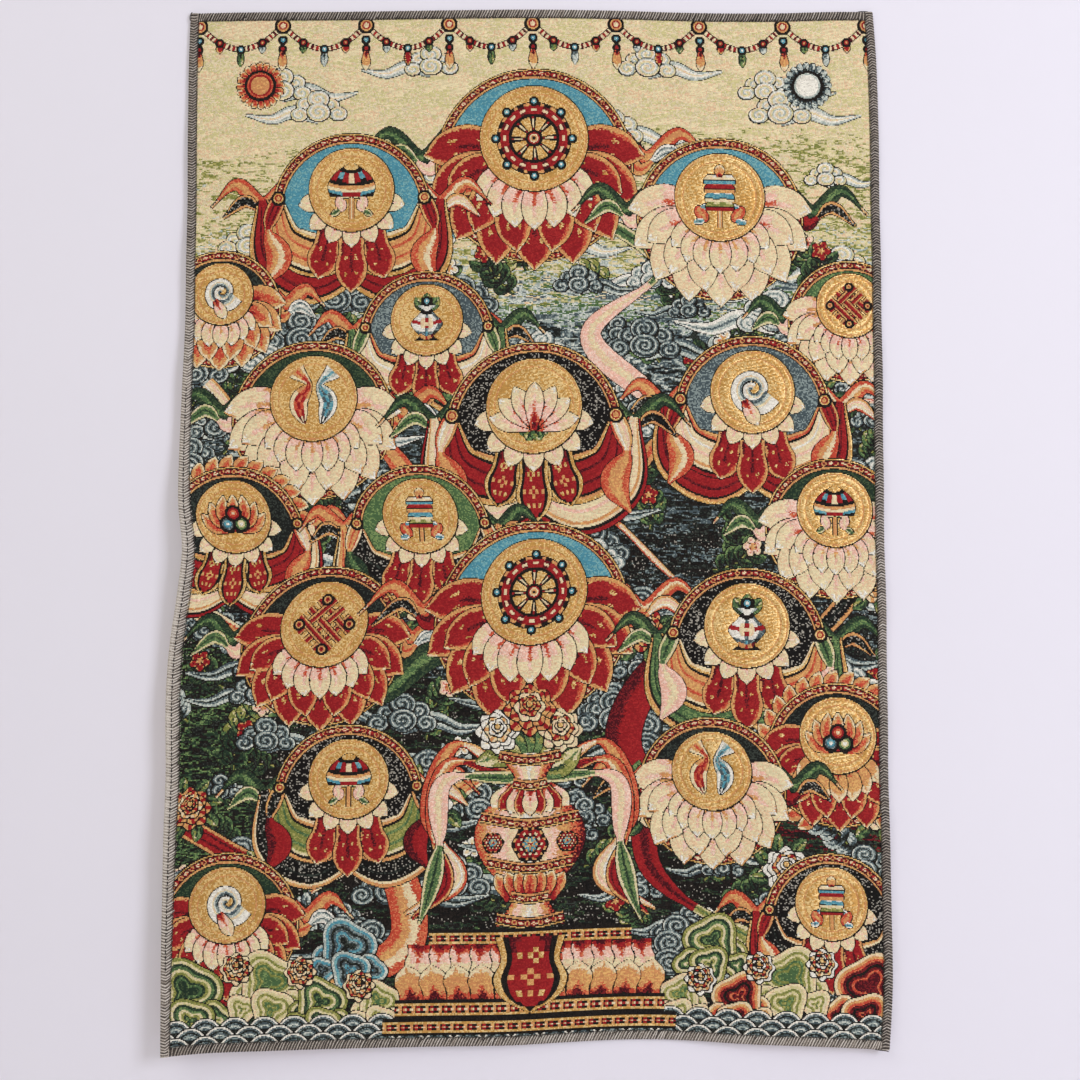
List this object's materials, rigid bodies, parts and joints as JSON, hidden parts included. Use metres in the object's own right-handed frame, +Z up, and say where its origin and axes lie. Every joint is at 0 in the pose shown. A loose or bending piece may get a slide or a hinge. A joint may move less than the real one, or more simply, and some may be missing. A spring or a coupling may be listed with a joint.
{
  "type": "woven thangka panel",
  "caption": "Upright picture panel woven in one piece with overlocked edges, hung flat against a wall by its top edge.",
  "frame": {"origin": "middle of the top edge, halfway through its thickness", "axes": "+X to the right as seen from the front, -Y out of the picture towards the viewer, +Z up"},
  "size_m": [0.6084, 0.0224, 0.8926],
  "materials": {
    "woven_cloth": "jacquard-woven coloured and metallic yarns, matt with a fine glitter",
    "overlock_thread": "grey spun polyester thread, matt"
  },
  "bodies": {
    "root": {"cloth": "woven_cloth", "overlock_edge_top": "overlock_thread", "overlock_edge_right": "overlock_thread", "overlock_edge_bottom": "overlock_thread", "overlock_edge_left": "overlock_thread"}
  },
  "joints": []
}
